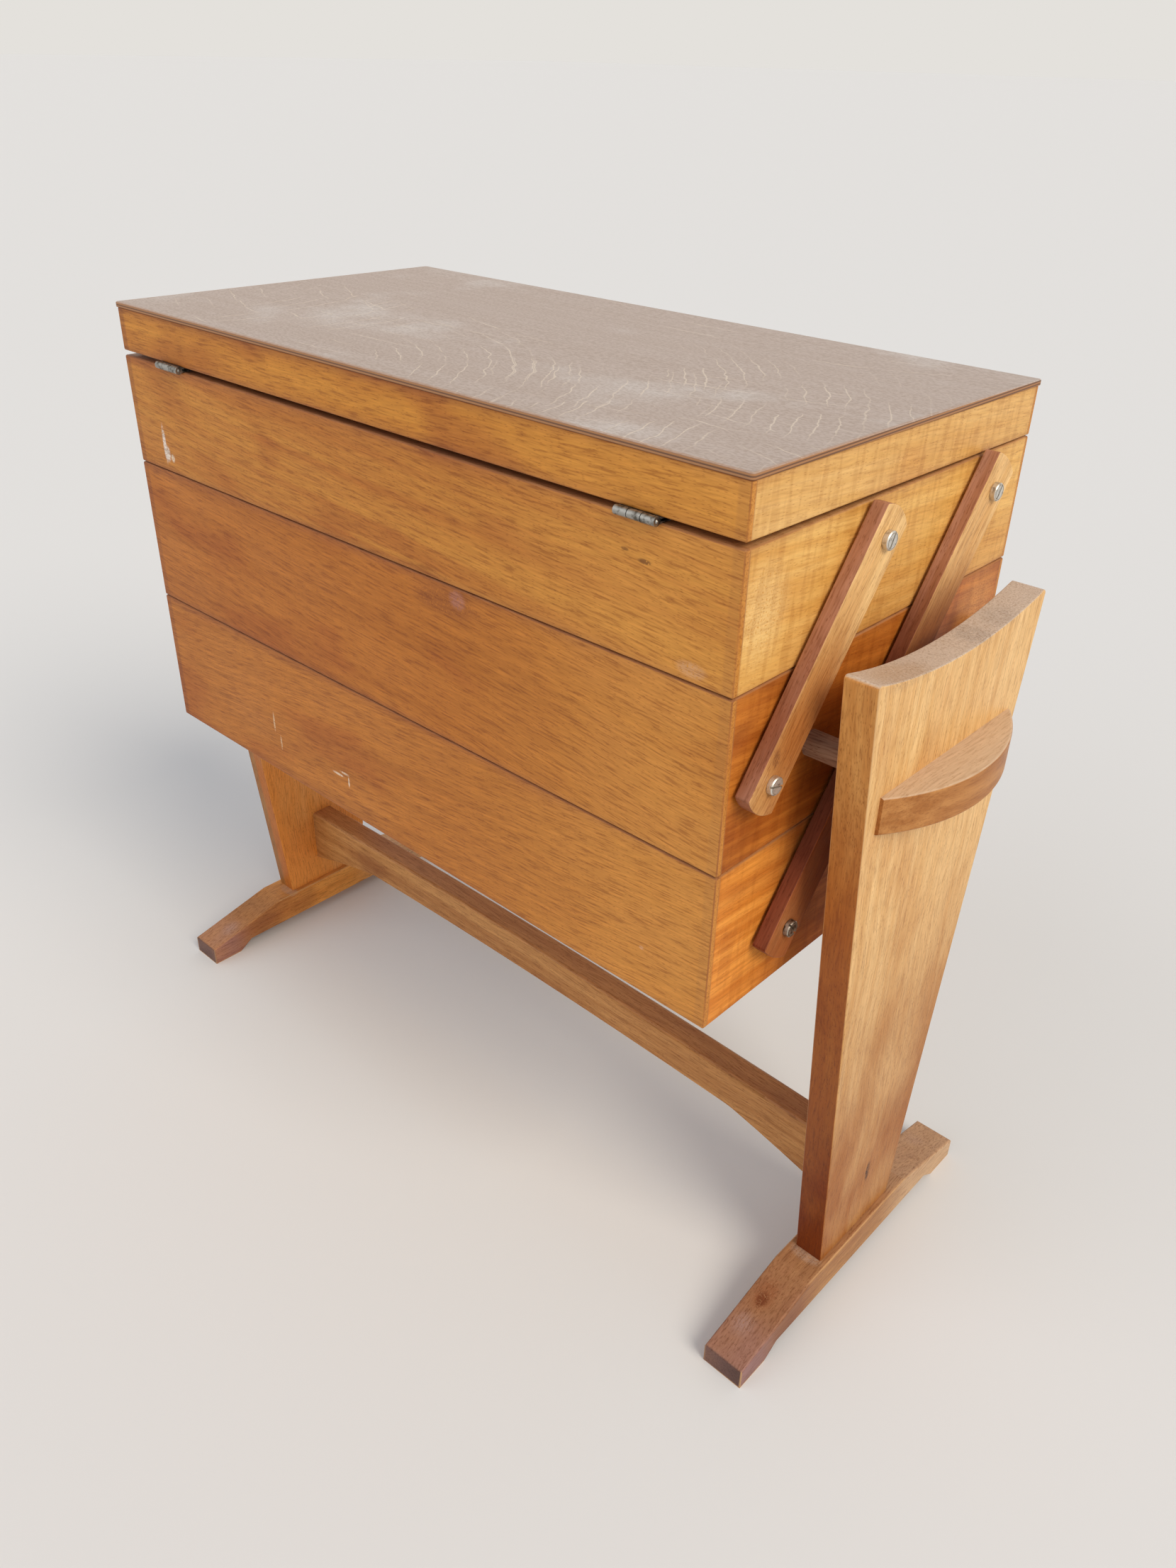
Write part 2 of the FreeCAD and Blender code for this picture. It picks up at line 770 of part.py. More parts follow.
def make_end_panel(title, end):
    body = node(f"end_panel_{title}")
    low, high = sides(end, panel_inner, panel_outer)
    lower = mm.panel_foot_wide / 2
    upper = mm.panel_top_wide / 2
    outline = [
        (-lower, mm.foot_high),
        (lower, mm.foot_high),
        (upper, panel_top),
        via(zero, panel_top - mm.panel_dip),
        (-upper, panel_top),
    ]
    pad(body, "YZ", low, high, outline)
    soften(body, mm.panel_corner, lambda edge: lies(edge, z=panel_top))

    def arris(edge):
        on_face = lies(edge, x=low) or lies(edge, x=high)
        return on_face and not lies(edge, z=mm.foot_high)

    soften(body, mm.panel_round, arris)
    # Tenon that stands in the foot.
    near, far = sides(end, panel_centre - mm.tenon_thick / 2, panel_centre + mm.tenon_thick / 2)
    width = lower - mm.tenon_shoulder
    tenon = rectangle(near, far, -width, width)
    pad(body, "XY", mm.foot_high - mm.tenon_long, mm.foot_high, tenon)
    # Mortise for the stretcher.
    half = mm.stretcher_thick / 2 - mm.stretcher_shoulder + mm.tenon_play
    top = mm.stretcher_height - mm.stretcher_tenon_drop + mm.tenon_play
    bottom = mm.stretcher_height - mm.stretcher_deep + mm.stretcher_tenon_drop - mm.tenon_play
    deep = panel_inner + mm.stretcher_tenon_long + mm.tenon_play
    cut(body, "YZ", *sides(end, panel_inner, deep), rectangle(-half, half, bottom, top))
    # Sockets for the dowels that carry the middle tray.
    sockets = [(side * dowel_y, pivot_level, mm.dowel_radius + mm.dowel_fit) for side in (-1, 1)]
    cut(body, "YZ", *sides(end, panel_inner, panel_inner + mm.dowel_panel_bite), circles=sockets)
    spots = [(side * mm.grip_screw_spread, grip_level) for side in (-1, 1)]
    radius = mm.grip_screw_radius + mm.screw_fit
    head = mm.grip_screw_head + mm.screw_fit
    countersink(body, "YZ", end * panel_inner, end, spots, radius, head)


def make_foot(title, end):
    body = node(f"foot_{title}")
    half = mm.foot_wide / 2
    low, high = sides(end, panel_centre - half, panel_centre + half)
    tip = mm.foot_long / 2
    flat = mm.panel_foot_wide / 2 + mm.foot_shoulder
    pad_end = tip - mm.foot_pad_long
    arch = pad_end - mm.foot_ramp
    outline = [
        (-tip, zero),
        (-pad_end, zero),
        (-arch, mm.foot_relief),
        (arch, mm.foot_relief),
        (pad_end, zero),
        (tip, zero),
        (tip, mm.foot_tip),
        (flat, mm.foot_high),
        (-flat, mm.foot_high),
        (-tip, mm.foot_tip),
    ]
    pad(body, "YZ", low, high, outline)

    def arris(edge):
        box = edge.BoundBox
        upper = box.ZMin > float(mm.foot_tip) - NEAR
        bends = [lies(edge, z=mm.foot_high, y=bend) for bend in (flat, -flat)]
        return upper and not any(bends)

    soften(body, mm.foot_round, arris)
    # Mortise for the panel's tenon.
    play = mm.tenon_play
    near, far = sides(
        end, panel_centre - mm.tenon_thick / 2 - play, panel_centre + mm.tenon_thick / 2 + play
    )
    width = mm.panel_foot_wide / 2 - mm.tenon_shoulder + play
    floor = mm.foot_high - mm.tenon_long - play
    cut(body, "XY", floor, mm.foot_high, rectangle(near, far, -width, width))


def make_stretcher():
    body = node("stretcher")
    half = mm.stretcher_thick / 2
    top = mm.stretcher_height
    bottom = top - mm.stretcher_deep
    haunch = panel_inner - mm.haunch_long
    haunch_middle = panel_inner - mm.haunch_long / 2
    # Crowned above and arched below, deeper where it meets the panels.
    outline = [
        (-panel_inner, bottom),
        via(-haunch_middle, top - mm.haunch_middle_deep),
        (-haunch, top - mm.haunch_deep),
        via(zero, top - mm.stretcher_waist),
        (haunch, top - mm.haunch_deep),
        via(haunch_middle, top - mm.haunch_middle_deep),
        (panel_inner, bottom),
        (panel_inner, top),
        via(zero, top + mm.stretcher_crown),
        (-panel_inner, top),
    ]
    pad(body, "XZ", -half, half, outline)
    bends = [{"x": side * haunch, "z": top - mm.haunch_deep} for side in (-1, 1)]
    soften(body, mm.haunch_round, lambda edge: any(lies(edge, **bend) for bend in bends))

    def arris(edge):
        on_face = lies(edge, y=half) or lies(edge, y=-half)
        return on_face and edge.BoundBox.ZMin > float(top) - NEAR

    soften(body, mm.stretcher_round, arris)
    inner = half - mm.stretcher_shoulder
    drop = mm.stretcher_tenon_drop
    for end in ENDS.values():
        low, high = sides(end, panel_inner, panel_inner + mm.stretcher_tenon_long)
        pad(body, "YZ", low, high, rectangle(-inner, inner, bottom + drop, top - drop))


def make_grip(title, end):
    # Solid half-round handle with its flat back against the panel.
    body = node(f"grip_{title}")
    tip = end * (panel_outer + mm.grip_tip)
    outline = [
        (end * panel_outer, -grip_half),
        (tip, -grip_half),
        via(end * (panel_outer + mm.grip_reach), zero),
        (tip, grip_half),
        (end * panel_outer, grip_half),
    ]
    pad(body, "XY", grip_low, grip_high, outline)

    def arris(edge):
        level = lies(edge, z=grip_low) or lies(edge, z=grip_high)
        return level and edge.Curve.TypeId == "Part::GeomCircle"

    soften(body, mm.grip_round, arris)
    holes = [
        (side * mm.grip_screw_spread, grip_level, mm.grip_screw_radius + mm.screw_fit)
        for side in (-1, 1)
    ]
    cut(body, "YZ", *sides(end, panel_outer, panel_outer + mm.grip_screw_bite), circles=holes)


def make_stand():
    for title, end in ENDS.items():
        make_end_panel(title, end)
        make_foot(title, end)
        make_grip(title, end)
    make_stretcher()


make_stand()
make_tray("low", low_level, mm.low_tray_high, dowels=False)
make_tray("middle", middle_level, mm.middle_tray_high, dowels=True)
make_tray("top", top_level, mm.top_tray_high, dowels=False)
make_lid()
make_hinges()
make_arms()
make_pivot_fasteners()
make_hinge_screws()
make_grip_screws()
make_dowels()
doc.recompute()

for item in doc.Objects:
    if "Invalid" in item.State or "Error" in item.State:
        owner = item.getParentGeoFeatureGroup()
        raise RuntimeError(f"{item.Label} of {owner and owner.Label} failed: {item.State}")
    if item.TypeId in ("PartDesign::Pocket", "PartDesign::Hole"):
        if item.Shape.Volume >= item.BaseFeature.Shape.Volume - NEAR:
            owner = item.getParentGeoFeatureGroup().Label
            raise RuntimeError(f"{item.Label} of {owner} removes nothing")
for item in NODES:
    if item.Shape.isNull() or not item.Shape.isValid():
        raise RuntimeError(f"{item.Label} is not a valid solid")

os.makedirs("parts", exist_ok=True)
for item in NODES:
    item.Shape.exportStep(f"parts/{item.Label}.step")
print(len(NODES), "sub-parts written")
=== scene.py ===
import math

import bpy
from mathutils import Matrix, Vector


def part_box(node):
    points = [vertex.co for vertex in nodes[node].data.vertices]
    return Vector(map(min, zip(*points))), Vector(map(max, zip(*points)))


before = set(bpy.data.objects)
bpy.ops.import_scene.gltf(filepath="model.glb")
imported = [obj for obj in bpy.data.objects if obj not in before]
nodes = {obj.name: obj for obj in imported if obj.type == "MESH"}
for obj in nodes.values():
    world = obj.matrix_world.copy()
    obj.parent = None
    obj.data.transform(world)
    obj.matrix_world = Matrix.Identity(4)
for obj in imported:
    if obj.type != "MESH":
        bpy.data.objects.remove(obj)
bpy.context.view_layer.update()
print("frame loaded:", len(nodes), "nodes")

mm = 0.001
toMm = (1 / mm, 1 / mm, 1 / mm)
smooth = {"interpolation_type": "SMOOTHSTEP"}
# A colour mix takes its share at socket 0 and its colours at 6 and 7, and gives the mix at 2.
mixed = {"data_type": "RGBA", "output": 2}
multiplied = {**mixed, "blend_type": "MULTIPLY"}


def linearColour(hexText):
    values = [int(hexText[i : i + 2], 16) / 255 for i in (0, 2, 4)]
    return [v / 12.92 if v <= 0.04045 else ((v + 0.055) / 1.055) ** 2.4 for v in values] + [1.0]


def addNode(material, kind, inputs=(), output=0, **settings):
    tree = material.node_tree
    node = tree.nodes.new("ShaderNode" + kind)
    for name, value in settings.items():
        setattr(node, name, value)
    pairs = inputs.items() if isinstance(inputs, dict) else enumerate(inputs)
    for socket, value in pairs:
        if isinstance(value, bpy.types.NodeSocket):
            tree.links.new(value, node.inputs[socket])
        elif value is not None:
            node.inputs[socket].default_value = value
    return None if output is None else node.outputs[output]


def newMaterial(name):
    material = bpy.data.materials.new(name)
    material.use_nodes = True
    material.node_tree.nodes.clear()
    return material


def dress(material, *names):
    for name in names:
        slots = nodes[name].data.materials
        slots.clear()
        slots.append(material)


# The camera, as azimuth from the hinge side, height over the horizon and roll.
camera = {
    "azimuthDeg": 42.39,
    "elevationDeg": 31.11,
    "rollDeg": 1.31,
    "placeMm": (526.6, -524.2, 695.5),
    "lensMm": 27.97,
    "sensorMm": 36,
}


def makeCamera(spec):
    az, el, roll = (math.radians(spec[key]) for key in ("azimuthDeg", "elevationDeg", "rollDeg"))
    ahead = Vector((-math.sin(az) * math.cos(el), math.cos(az) * math.cos(el), -math.sin(el)))
    level = Vector((math.cos(az), math.sin(az), 0))
    above = level.cross(ahead)
    right = level * math.cos(roll) + above * math.sin(roll)
    up = above * math.cos(roll) - level * math.sin(roll)
    data = bpy.data.cameras.new("camera")
    data.sensor_fit = "VERTICAL"
    data.sensor_width = spec["sensorMm"]
    data.sensor_height = spec["sensorMm"]
    data.lens = spec["lensMm"]
    data.clip_start = 0.01
    data.clip_end = 200
    view = bpy.data.objects.new("camera", data)
    turn = Matrix((right, up, -ahead)).transposed().to_4x4()
    view.matrix_world = Matrix.Translation(Vector(spec["placeMm"]) * mm) @ turn
    bpy.context.scene.collection.objects.link(view)
    bpy.context.scene.camera = view


makeCamera(camera)
print("camera placed")

# Pale matte floor, soft light from end a, and a weak cool fill on the hinge side.
studio = {
    "worldStrength": 0.55,
    "worldColour": "F1F4FA",
    "backdropColour": "E4E1DC",
    "floorColour": "E4E3E1",
    "floorMetres": 120,
    # direction towards the lamp, strength, width in degrees, colour
    "suns": {
        "key": ((0.74, -0.10, 0.66), 1.9, 32, "FFF6E8"),
        "fill": ((-0.35, -0.80, 0.50), 0.62, 60, "F2F5FF"),
    },
}


def makeStudio(spec):
    world = bpy.data.worlds.new("studio")
    world.use_nodes = True
    world.node_tree.nodes.clear()
    rays = addNode(world, "LightPath").node.outputs
    seen = addNode(
        world, "Math", [rays["Is Camera Ray"], rays["Is Glossy Ray"]], operation="MAXIMUM"
    )
    seen = addNode(world, "Math", [seen, rays["Is Transmission Ray"]], operation="MAXIMUM")
    light = addNode(world, "Background", [linearColour(spec["worldColour"]), spec["worldStrength"]])
    pale = addNode(world, "Background", [linearColour(spec["backdropColour"]), 1.0])
    both = addNode(world, "MixShader", [seen, light, pale])
    addNode(world, "OutputWorld", [both], output=None)
    bpy.context.scene.world = world
    for name, (towards, strength, width, tint) in spec["suns"].items():
        data = bpy.data.lights.new(name, "SUN")
        data.energy = strength
        data.angle = math.radians(width)
        data.color = linearColour(tint)[:3]
        lamp = bpy.data.objects.new(name, data)
        lamp.rotation_euler = Vector(towards).to_track_quat("Z", "Y").to_euler()
        bpy.context.scene.collection.objects.link(lamp)
    half = spec["floorMetres"] / 2
    corners = [(-half, -half, 0), (half, -half, 0), (half, half, 0), (-half, half, 0)]
    mesh = bpy.data.meshes.new("floor")
    mesh.from_pydata(corners, [], [(0, 1, 2, 3)])
    floor = bpy.data.objects.new("floor", mesh)
    bpy.context.scene.collection.objects.link(floor)
    paint = newMaterial("matte studio paint")
    base = linearColour(spec["floorColour"])
    surface = addNode(paint, "BsdfPrincipled", {"Base Color": base, "Roughness": 0.9})
    addNode(paint, "OutputMaterial", [surface], output=None)
    mesh.materials.append(paint)


makeStudio(studio)
bpy.context.scene.view_settings.view_transform = "Standard"
print("studio lit")

# Turns in degrees that bring the grain of a piece to lie along X.
grainAlongX = (0, 0, 0)
grainAlongY = (0, 0, -90)
grainAlongZ = (0, 90, 0)
grainAlongArm = (-53.77, 0, -90)

# Cosines between which a face stops, or starts, to count as turned to an axis.
turnedAway = (0.75, 0.35)
turnedUp = (0.35, 0.9)


def boxOf(name):
    # A node's lowest and highest corners in mm.
    return [[value / mm for value in corner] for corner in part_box(name)]


def stretched(material, place, lengthMm, widthMm):
    # Places in mm, scaled so that a pattern of size 1 is drawn out along the grain.
    scale = (1 / lengthMm, 1 / widthMm, 1 / widthMm)
    return addNode(material, "VectorMath", [place, scale], operation="MULTIPLY")


def streaks(material, place, sizeMm, detail=2.0):
    sized = stretched(material, place, *sizeMm)
    return addNode(material, "TexNoise", {"Vector": sized, "Scale": 1.0, "Detail": detail})


def flecks(material, place, sizeMm, share, reach):
    # Short dashes in a share of stretched cells, each fading out at its reach.
    sized = stretched(material, place, *sizeMm)
    cells = addNode(material, "TexVoronoi", {"Vector": sized, "Scale": 1.0})
    full = 0.35 * reach
    inside = addNode(material, "MapRange", [cells, reach, full], **smooth)
    draw = addNode(material, "SeparateColor", [cells.node.outputs["Color"]])
    chosen = addNode(material, "Math", [draw, share], operation="LESS_THAN")
    return addNode(material, "Math", [inside, chosen], operation="MULTIPLY")


def arrisNearness(material, place, low, high, reach, footHalf=None):
    # 1 near a box's edges and 0 beyond the reach: the second smallest distance to its faces.
    # A half width at the foot tapers the box along Y towards it.
    parts = addNode(material, "SeparateXYZ", [place]).node.outputs
    distances = []
    for axis in range(3):
        middle, half = (low[axis] + high[axis]) / 2, (high[axis] - low[axis]) / 2
        if footHalf and axis == 1:
            half = addNode(material, "MapRange", [parts["Z"], low[2], high[2], footHalf, half])
        off = addNode(material, "Math", [parts[axis], middle], operation="SUBTRACT")
        off = addNode(material, "Math", [off], operation="ABSOLUTE")
        distances.append(addNode(material, "Math", [half, off], operation="SUBTRACT"))
    first, second, third = distances
    least = addNode(material, "Math", [first, second], operation="MINIMUM")
    most = addNode(material, "Math", [first, second], operation="MAXIMUM")
    most = addNode(material, "Math", [most, third], operation="MINIMUM")
    nearest = addNode(material, "Math", [least, most], operation="MAXIMUM")
    full = 0.3 * reach
    return addNode(material, "MapRange", [nearest, reach, full], **smooth)


def spot(material, place, centre, radii):
    # 1 round a place and 0 outside an egg about it, full within 0.45 of the egg's radii.
    off = addNode(material, "VectorMath", [place, centre], operation="SUBTRACT")
    off = addNode(material, "VectorMath", [off, radii], operation="DIVIDE")
    far = addNode(material, "VectorMath", [off], output="Value", operation="LENGTH")
    return addNode(material, "MapRange", [far, 1.0, 0.45], **smooth)


# Beech under varnish: broad soft streaks, redder patches, and short dark pores and rays that
# give it its flecked look. Sizes are in mm, along and across the grain. Hair lines and pores
# are finer in life and are drawn just coarse enough to show. A pair named Shows holds where a
# pattern's noise, which runs from 0 to 1 about a half, starts to show and is full.
beechGrain = {
    "broadMm": (300, 5.5),
    "broadShows": (0.3, 0.7),
    "patchMm": (90, 38),
    "redShows": (0.48, 0.70),
    "hairMm": (13, 1.0),
    "darkHairShows": (0.50, 0.70),
    "paleHairShows": (0.50, 0.30),
    "paleHair": (1.28, 1.3, 1.35, 1.0),
    "poreMm": (3.8, 0.8),
    "poreShare": 0.6,
    "poreReach": 0.34,
    "curlMm": (5, 34),
    "curlShows": (0.46, 0.62),
    "wandersPerMetre": 12,
    "chipsPerMetre": 900,
    "chipShows": (0.32, 0.48),
    # patches from which and to which bands and worn edges gain strength, and how much they keep
    "bandRagged": (0.30, 0.60, 0.55, 1.0),
    "wearRagged": (0.34, 0.56, 0.45, 1.0),
    "wear": 0.8,
    "glossPatches": (0.3, 0.7),
    "glossSpread": 0.12,
    "bump": 0.12,
    "bumpMm": 0.4,
    # distance between the cuts of wood that two neighbouring seeds give
    "seedStepMm": (317, 71, 53),
}
varnish = {"Specular IOR Level": 0.2, "Coat Weight": 0.05, "Coat Roughness": 0.3}


# Bands and marks are tints of a piece. A band is an axis, where on it the tint starts and is
# full in mm, a strength and a tint; one whose name starts with both is alike on either side of
# the middle. A mark is a centre and radii in mm, a strength and a tint.
def dressBeech(name, label, spec, number=0):
    material = newMaterial(label)
    low, high = boxOf(name)
    seed = spec["seed"] + number
    origin = addNode(material, "TexCoord").node.outputs
    facing = addNode(material, "SeparateXYZ", [origin["Normal"]]).node.outputs
    place = addNode(material, "Mapping", {"Vector": origin["Object"], "Scale": toMm})
    level = addNode(material, "SeparateXYZ", [place]).node.outputs
    turn = [math.radians(angle) for angle in spec["grain"]]
    apart = [seed * step for step in beechGrain["seedStepMm"]]
    along = addNode(material, "Mapping", {"Vector": place, "Rotation": turn, "Location": apart})
    # A slow wander keeps the lines from running dead straight.
    size = beechGrain["wandersPerMetre"] * mm
    wander = addNode(
        material, "TexNoise", {"Vector": along, "Scale": size, "Detail": 1.0}, output="Color"
    )
    wander = addNode(material, "VectorMath", [wander, (0.5, 0.5, 0.5)], operation="SUBTRACT")
    wander = addNode(material, "VectorMath", [wander, (spec["sway"],) * 3], operation="MULTIPLY")
    along = addNode(material, "VectorMath", [along, wander], operation="ADD")
    # Broad streaks run from the light to the dark wood, and patches of it are redder.
    broad = streaks(material, along, beechGrain["broadMm"], 3.0)
    light, dark = linearColour(spec["light"]), linearColour(spec["dark"])
    mask = addNode(material, "MapRange", [broad, *beechGrain["broadShows"]], **smooth)
    shade = addNode(material, "Mix", {0: mask, 6: light, 7: dark}, **mixed)
    patch = streaks(material, along, beechGrain["patchMm"])
    redness = [patch, *beechGrain["redShows"], 0.0, spec["redness"]]
    mask = addNode(material, "MapRange", redness, **smooth)
    shade = addNode(material, "Mix", {0: mask, 6: shade, 7: linearColour(spec["red"])}, **mixed)
    for band, (axis, start, end, amount, tint) in spec.get("bands", {}).items():
        far = level[axis]
        if band.startswith("both"):
            far = addNode(material, "Math", [far], operation="ABSOLUTE")
        mask = addNode(material, "MapRange", [far, start, end, 0.0, amount], **smooth)
        ragged = addNode(material, "MapRange", [patch, *beechGrain["bandRagged"]])
        mask = addNode(material, "Math", [mask, ragged], operation="MULTIPLY")
        shade = addNode(material, "Mix", {0: mask, 6: shade, 7: linearColour(tint)}, **mixed)
    if "side" in spec:
        # The narrow faces of a flat piece are tinted, and again towards the foot; on the arms this
        # tint is a painted sky reflection.
        out = addNode(material, "Math", [facing["X"]], operation="ABSOLUTE")
        mask = addNode(material, "MapRange", [out, *turnedAway], **smooth)
        tint = linearColour(spec["side"])
        shade = addNode(material, "Mix", {0: mask, 6: shade, 7: tint}, **multiplied)
        if "sideLow" in spec:
            fall = addNode(material, "MapRange", [level["Z"], *spec["sideFallMm"]], **smooth)
            mask = addNode(material, "Math", [mask, fall], operation="MULTIPLY")
            tint = linearColour(spec["sideLow"])
            shade = addNode(material, "Mix", {0: mask, 6: shade, 7: tint}, **multiplied)
    # Faces that look up are greyer: partly dust, partly a painted reflection of the pale sky.
    mask = addNode(material, "MapRange", [facing["Z"], *turnedUp, 0.0, spec["dustAndSkySheen"]], **smooth)
    shade = addNode(material, "Mix", {0: mask, 6: shade, 7: linearColour(spec["grey"])}, **mixed)
    for centre, radii, amount, tint in spec.get("marks", ()):
        mask = spot(material, place, centre, radii)
        size = beechGrain["chipsPerMetre"] * mm
        chips = addNode(material, "TexNoise", {"Vector": place, "Scale": size, "Detail": 2.0})
        chips = addNode(
            material, "MapRange", [chips, *beechGrain["chipShows"], 0.0, amount], **smooth
        )
        mask = addNode(material, "Math", [mask, chips], operation="MULTIPLY")
        shade = addNode(material, "Mix", {0: mask, 6: shade, 7: linearColour(tint)}, **mixed)
    # Hair lines, dark and pale, over every face alike.
    hair = streaks(material, along, beechGrain["hairMm"])
    fleck = linearColour(spec["fleck"])
    for shows, tint in (("darkHairShows", fleck), ("paleHairShows", beechGrain["paleHair"])):
        lines = [hair, *beechGrain[shows], 0.0, spec["lines"]]
        mask = addNode(material, "MapRange", lines, **smooth)
        shade = addNode(material, "Mix", {0: mask, 6: shade, 7: tint}, **multiplied)
    pores = flecks(
        material, along, beechGrain["poreMm"], beechGrain["poreShare"], beechGrain["poreReach"]
    )
    mask = addNode(material, "Math", [pores, spec["pores"]], operation="MULTIPLY")
    shade = addNode(material, "Mix", {0: mask, 6: shade, 7: fleck}, **multiplied)
    if "curl" in spec:
        # Curl across the grain catches the light in soft bars.
        curl = streaks(material, along, beechGrain["curlMm"])
        curl = [curl, *beechGrain["curlShows"], 0.0, spec["curl"]]
        mask = addNode(material, "MapRange", curl, **smooth)
        shade = addNode(material, "Mix", {0: mask, 6: shade, 7: fleck}, **multiplied)
    if spec.get("arris"):
        # Handling has worn or soiled the edges.
        worn = arrisNearness(material, place, low, high, spec["arrisMm"], spec.get("footHalf"))
        ragged = addNode(material, "MapRange", [patch, *beechGrain["wearRagged"]], **smooth)
        mask = addNode(material, "Math", [worn, ragged], operation="MULTIPLY")
        mask = addNode(material, "Math", [mask, beechGrain["wear"]], operation="MULTIPLY")
        tint = linearColour(spec["arris"])
        shade = addNode(material, "Mix", {0: mask, 6: shade, 7: tint}, **mixed)
    height = addNode(material, "Math", [hair, pores], operation="SUBTRACT")
    relief = {"Strength": beechGrain["bump"], "Distance": beechGrain["bumpMm"] * mm}
    bump = addNode(material, "Bump", {**relief, "Height": height})
    smoothest = spec["gloss"]
    gloss = [patch, *beechGrain["glossPatches"], smoothest, smoothest + beechGrain["glossSpread"]]
    gloss = addNode(material, "MapRange", gloss)
    skin = {**varnish, "Base Color": shade, "Roughness": gloss, "Normal": bump}
    surface = addNode(material, "BsdfPrincipled", skin)
    addNode(material, "OutputMaterial", [surface], output=None)
    dress(material, name)


# Long boards of satin varnished beech: honey brown, redder where hands and seams are.
backY = -128  # outer face on the hinge side
longBoard = {
    "grain": grainAlongX,
    "sway": 4,
    "light": "C68638",
    "dark": "B07030",
    "red": "9E5222",
    "redness": 0.5,
    "fleck": "B08C74",
    "lines": 0.5,
    "pores": 0.45,
    "grey": "9C7358",
    "dustAndSkySheen": 0.6,
    "arris": "8C5530",
    "arrisMm": 1.1,
    "gloss": 0.42,
    "seed": 0.3,
}
longBoards = {
    "lid": {"light": "CE8932", "dark": "C07A2A"},
    "top_tray": {
        "grain": (0, -3, 0),
        "light": "C88534",
        "dark": "B8712A",
        "marks": [
            ((-216.5, backY, 469), (2.4, 6, 15), 0.95, "E8DACA"),
            ((-214.5, backY, 463), (4.4, 6, 6.5), 0.95, "E8DACA"),
            ((-208.5, backY, 461), (2.6, 6, 3.4), 0.9, "DCC8AC"),
            ((226, backY, 457.5), (11, 6, 5), 0.35, "D0A98C"),
            ((196, backY, 500.5), (5, 6, 1.6), 0.7, "5E3218"),
            ((184, backY, 503.5), (3, 6, 1.2), 0.6, "5E3218"),
        ],
    },
    "middle_tray": {
        "grain": (0, -4, 0),
        "light": "BD7227",
        "dark": "AC641E",
        "marks": [
            ((58, backY, 440), (34, 6, 10), 0.45, "86441F"),
            ((68, backY, 444), (8, 6, 7), 0.5, "B98072"),
        ],
    },
    "low_tray": {
        "grain": (0, 5, 0),
        "light": "C2782C",
        "dark": "B06A24",
        "marks": [
            ((-127, backY, 297), (1.2, 6, 9), 0.7, "E4C7A0"),
            ((-121, backY, 283), (1.0, 6, 7), 0.7, "E4C7A0"),
            ((-57, backY, 285), (7, 6, 1.2), 0.8, "EBD8BE"),
            ((-50, backY, 288), (6, 6, 1.0), 0.8, "EBD8BE"),
            ((-46, backY, 283), (1.0, 6, 5), 0.8, "EBD8BE"),
            ((206, backY, 287.8), (2.2, 6, 1.6), 0.6, "D9A57C"),
        ],
    },
}
boards = [(part, side) for part in longBoards for side in ("back", "front")]
for number, (part, side) in enumerate(boards):
    name = f"{part}_{side}"
    foot, top = (corner[2] for corner in boxOf(name))
    spec = {**longBoard, **longBoards[part]}
    spec["bands"] = {
        "top seam": ("Z", top - 7, top - 0.5, 0.5, "92502C"),
        "low seam": ("Z", foot + 6, foot + 0.5, 0.45, "8F4E2A"),
        "both corners": ("X", 242.6, 244.6, 0.5, "86492A"),
        "faded end": ("X", 40, 240, 0.55, "E5A24C"),
    }
    dressBeech(name, f"satin beech, {part} {side} board", spec, number)
print("long boards dressed")

# End boards of the same beech, brighter and with curl; the lower trays' end boards are painted
# darker and more orange, a painted shade of the end panels.
endX = 245  # outer face of the boards at end a
endBoard = {
    "grain": (4, 0, -90),
    "sway": 4,
    "light": "EDBA6C",
    "dark": "E0AA5A",
    "red": "C57E34",
    "redness": 0.45,
    "fleck": "C09E78",
    "lines": 0.28,
    "pores": 0.45,
    "curl": 0.24,
    "grey": "B08564",
    "dustAndSkySheen": 0.6,
    "arris": "A8703F",
    "arrisMm": 1.1,
    "gloss": 0.36,
    "seed": 9.7,
}
endBoards = {
    "lid": {"light": "E8B972", "dark": "DDA95E"},
    "top_tray": {"light": "EEBD6C", "dark": "DEA654", "redness": 0.25},
    # The middle and low end boards are painted darker and redder: painted shade of the end panels.
    "middle_tray": {"light": "CA7A2E", "dark": "AA5C1E", "red": "823C10", "redness": 0.85},
    "low_tray": {"light": "EE9E44", "dark": "D07A28", "red": "A0501C", "redness": 0.6},
}
endMarks = {
    "top_tray_end_a": [((endX, -112, 486), (9, 30, 40), 0.65, "F8D492")],
    "middle_tray_end_a": [
        # The two dark marks beside the arm are painted shadow of the arm.
        ((endX, -46, 392), (9, 34, 34), 0.6, "7A4118"),
        ((endX, -50, 340), (9, 40, 18), 0.6, "7A4118"),
        ((endX, 102, 430), (9, 40, 34), 0.55, "E0A45C"),
    ],
    # The dark mark beside the arm is painted shadow of the arm.
    "low_tray_end_a": [((endX, -48, 286), (9, 30, 22), 0.55, "8E4A1C")],
}
boards = [(part, end) for part in endBoards for end in "ab"]
for number, (part, end) in enumerate(boards):
    name = f"{part}_end_{end}"
    foot, top = (corner[2] for corner in boxOf(name))
    spec = {**endBoard, **endBoards[part]}
    spec["bands"] = {
        "top seam": ("Z", top - 5, top - 0.5, 0.35, "9C5C30"),
        "low seam": ("Z", foot + 5, foot + 0.5, 0.35, "9C5C30"),
    }
    if part == "top_tray":
        # The darker low half is painted shade between the arms.
        spec["bands"]["darker low half"] = ("Z", 492, 452, 0.5, "CC8A42")
    spec["marks"] = endMarks.get(name, ())
    dressBeech(name, f"curly beech, {part} end {end}", spec, number)
print("end boards dressed")
